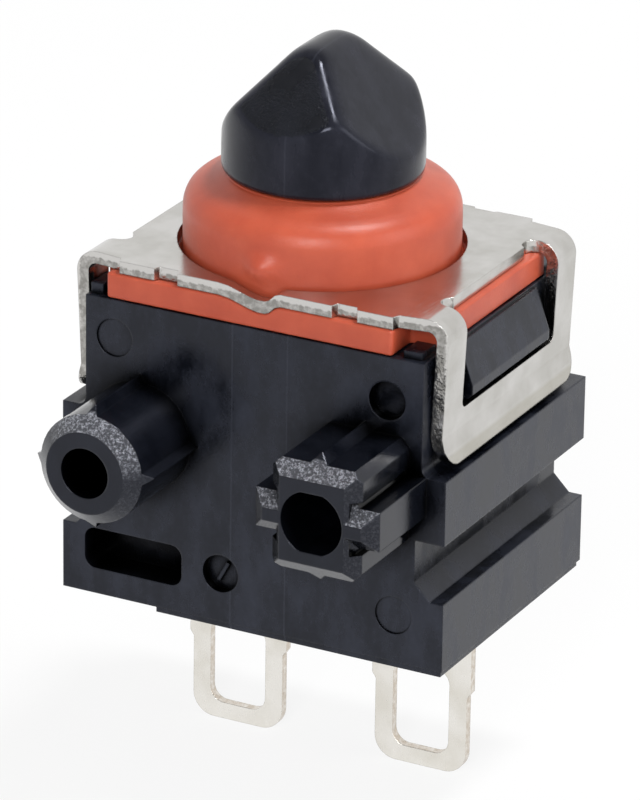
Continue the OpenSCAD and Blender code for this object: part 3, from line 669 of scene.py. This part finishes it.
def head_surface(x, y, z):
    """How far a point stands outside the plunger's head: two flanks that meet in a
    round crest, an end facet front and back, and a cylinder, all blended at the edges.
    x and y are from the axis, z from the head's underside."""
    def blended(parts, soft):
        parts = np.stack(parts)
        top = parts.max(axis=0)
        return top + soft * np.log(np.exp((parts - top) / soft).sum(axis=0))

    hip, rim = 0.18, 0.07
    side, over = np.abs(x), z - (HEAD_H - CREST_R)
    flank = side * math.sin(FLANK) + over * math.cos(FLANK) - CREST_R
    crest = np.hypot(x, over) - CREST_R
    wedge = np.where(side * math.cos(FLANK) < over * math.sin(FLANK), crest, flank)
    end = (np.abs(y) - HEAD_R) * math.sin(FACET) + (z - FACET_FOOT) * math.cos(FACET)
    return blended([blended([wedge, end], hip), np.hypot(x, y) - HEAD_R, -z], rim)


def head_points(around, up):
    """The head's surface, found along rays from a point inside it."""
    middle_z, furthest, halvings = 1.5, 6.0, 40
    turn, rise = np.meshgrid(
        np.linspace(0, 2 * math.pi, around, endpoint=False), np.linspace(0, math.pi, up))
    way = np.stack([np.sin(rise) * np.sin(turn), -np.sin(rise) * np.cos(turn), -np.cos(rise)])
    near, far = np.zeros(turn.shape), np.full(turn.shape, furthest)
    for _ in range(halvings):
        reach = (near + far) / 2
        inside = head_surface(reach * way[0], reach * way[1], middle_z + reach * way[2]) < 0
        near, far = np.where(inside, reach, near), np.where(inside, far, reach)
    low = CREST_Z - HEAD_H
    return [(AXIS_X + x, AXIS_Y + y, low + middle_z + z) for x, y, z in (way * near).reshape(3, -1).T]


def grid_faces(rows, around):
    """Faces between rows of points that each run round a closed ring."""
    faces = []
    for i in range(rows - 1):
        for k in range(around):
            k2 = (k + 1) % around
            faces.append((i * around + k, i * around + k2, (i + 1) * around + k2, (i + 1) * around + k))
    return faces


def plunger_button():
    """The plunger: its wedge-topped head, and the neck, flange and stem below it."""
    around, up = 288, 200
    points, faces = head_points(around, up), grid_faces(up, around)
    low, break_edge, tail_edge, sunk = PLUNGER_LOW.z, 0.05, 0.1, 0.12
    head_z = CREST_Z - HEAD_H + sunk
    flange_z = BOOT_TOP - COLLAR_T - FIT_GAP - FLANGE_T
    stem = [
        (0, low), (TAIL_R - tail_edge, low), (TAIL_R, low + tail_edge), (TAIL_R, low + TAIL_LEN),
        (STEM_R, low + TAIL_LEN), (STEM_R, flange_z),
        (FLANGE_R - break_edge, flange_z), (FLANGE_R, flange_z + break_edge),
        (FLANGE_R, flange_z + FLANGE_T - break_edge), (FLANGE_R - break_edge, flange_z + FLANGE_T),
        (NECK_R, flange_z + FLANGE_T), (NECK_R, head_z), (0, head_z)]
    more, more_faces = turned(stem, around=72, closed=False)
    shift = len(points)
    points += more
    faces += [tuple(i + shift for i in face) for face in more_faces]
    piece = make_piece("plunger_button", points, faces, "plunger", "plunger", "plunger_pbt",
                       button_pbt, eroded_pbt)
    front = Vector((0, -math.sin(FACET), math.cos(FACET)))
    back = Vector((0, -front.y, front.z))
    facing, sharp = 0.97, math.radians(40)
    for face in piece.data.polygons:
        face.material_index = int(max(face.normal.dot(front), face.normal.dot(back)) > facing)
    piece.data.set_sharp_from_angle(angle=sharp)


def wound_spring(name, stands_for, body, turns, wire):
    """A compression spring of round wire, its end turns closed."""
    low, high = millimetres(stands_for)
    radius = (high.x - low.x - wire) / 2
    start, end = low.z + wire / 2, high.z - wire / 2
    steps_a_turn, around = 40, 14
    steps = int(turns * steps_a_turn)
    points = []
    for i in range(steps + 1):
        turn = turns * (i / steps)
        level = np.interp(turn, [0, 0.8, turns - 0.8, turns], [0, 0.09, 0.91, 1])
        a = 2 * math.pi * turn
        out = Vector((math.cos(a), math.sin(a)))
        for k in range(around):
            b = 2 * math.pi * k / around
            across, up = math.cos(b) * wire / 2, math.sin(b) * wire / 2
            points.append((AXIS_X + out.x * (radius + across), AXIS_Y + out.y * (radius + across),
                           start + level * (end - start) + up))
    faces = grid_faces(steps + 1, around)
    faces.append(tuple(range(around))[::-1])
    faces.append(tuple(steps * around + k for k in range(around)))
    return make_piece(name, points, faces, body, stands_for, "spring_wire", spring_wire)


boot_dome()
boot_gasket()
plunger_button()
return_coil = wound_spring("return_coil", "return_spring", "body", turns=4.5, wire=0.28)
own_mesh(return_coil)
contact_coil = wound_spring("contact_coil", "contact_spring", "plunger", turns=4, wire=0.2)
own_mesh(contact_coil)


# Stage, in metres

def backdrop_seen(tree):
    """1 where a ray sees the backdrop directly, in gloss or through glass, else 0."""
    ray = add_node(tree, "LightPath")
    direct = add_node(tree, "Math", {
        0: ray.outputs["Is Camera Ray"], 1: ray.outputs["Is Glossy Ray"]}, operation="ADD")
    seen = add_node(tree, "Math", {0: direct.outputs[0], 1: ray.outputs["Is Transmission Ray"]},
                    operation="ADD", use_clamp=True)
    return seen.outputs[0]


def studio_floor():
    """A plain white floor. Seen directly or in metal it is near white, and it keeps
    part of the object's shadow."""
    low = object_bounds()[0][2]
    half, whiteness = 3, 0.86
    mesh = bpy.data.meshes.new("floor")
    mesh.from_pydata(
        [(-half, -half, low), (half, -half, low), (half, half, low), (-half, half, low)], [], [(0, 1, 2, 3)])
    floor = bpy.data.objects.new("floor", mesh)
    bpy.context.scene.collection.objects.link(floor)
    made, tree, _ = new_material("studio_floor")
    paint = add_node(tree, "BsdfDiffuse", {"Color": colour("#f2f2f2")})
    glow = add_node(tree, "Emission", {"Color": (1, 1, 1, 1), "Strength": 1})
    share = add_node(tree, "Math", {0: backdrop_seen(tree), 1: whiteness}, operation="MULTIPLY")
    finish_material(tree, add_node(tree, "MixShader", {
        0: share.outputs[0], 1: paint.outputs[0], 2: glow.outputs[0]}))
    dress(floor, made)
    floor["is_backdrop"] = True


def soft_box(name, spot, side, power):
    """A square lamp that looks at the object."""
    data = bpy.data.lights.new(name, "AREA")
    data.shape = "SQUARE"
    data.size = side
    data.energy = power
    lamp = bpy.data.objects.new(name, data)
    spot = Vector(spot)
    lamp.matrix_world = Matrix.Translation(spot) @ (AIM - spot).to_track_quat("-Z", "Y").to_matrix().to_4x4()
    bpy.context.scene.collection.objects.link(lamp)


def studio_world():
    """A white room. Gloss sees a darker ceiling, which hangs lower in front, and matt
    surfaces take a low, even light."""
    room_light, ceiling_light, front_drop = 0.37, 0.3, -0.3
    world = bpy.data.worlds.new("studio")
    bpy.context.scene.world = world
    world.use_nodes = True
    tree = world.node_tree
    tree.nodes.clear()
    way = add_node(tree, "SeparateXYZ", {"Vector": add_node(tree, "TexCoord").outputs["Generated"]})
    height = add_node(tree, "Math", {
        0: way.outputs["Y"], 1: front_drop, 2: way.outputs["Z"]}, operation="MULTIPLY_ADD")
    ceiling = add_node(tree, "MapRange", {
        "Value": height.outputs[0], "From Min": 0.45, "From Max": 0.75, "To Min": 1, "To Max": ceiling_light})
    ray = add_node(tree, "LightPath")
    room = add_node(tree, "Math", {
        0: ceiling.outputs[0], 1: ray.outputs["Is Camera Ray"]}, operation="MAXIMUM")
    seen = add_node(tree, "Math", {0: backdrop_seen(tree), 1: room.outputs[0]}, operation="MULTIPLY")
    strength = add_node(tree, "MapRange", {"Value": seen.outputs[0], "To Min": room_light, "To Max": 1})
    glow = add_node(tree, "Background", {"Color": (1, 1, 1, 1), "Strength": strength.outputs[0]})
    add_node(tree, "OutputWorld", {"Surface": glow.outputs[0]})


studio_floor()
studio_world()
soft_box("top_light", (0.12, 0.06, 0.42), side=0.08, power=1.15)
soft_box("front_light", (0.16, -0.5, 0.26), side=0.18, power=1.6)
soft_box("side_light", (0.5, 0.02, 0.2), side=0.3, power=0.8)
bpy.context.scene.view_settings.view_transform = "Standard"
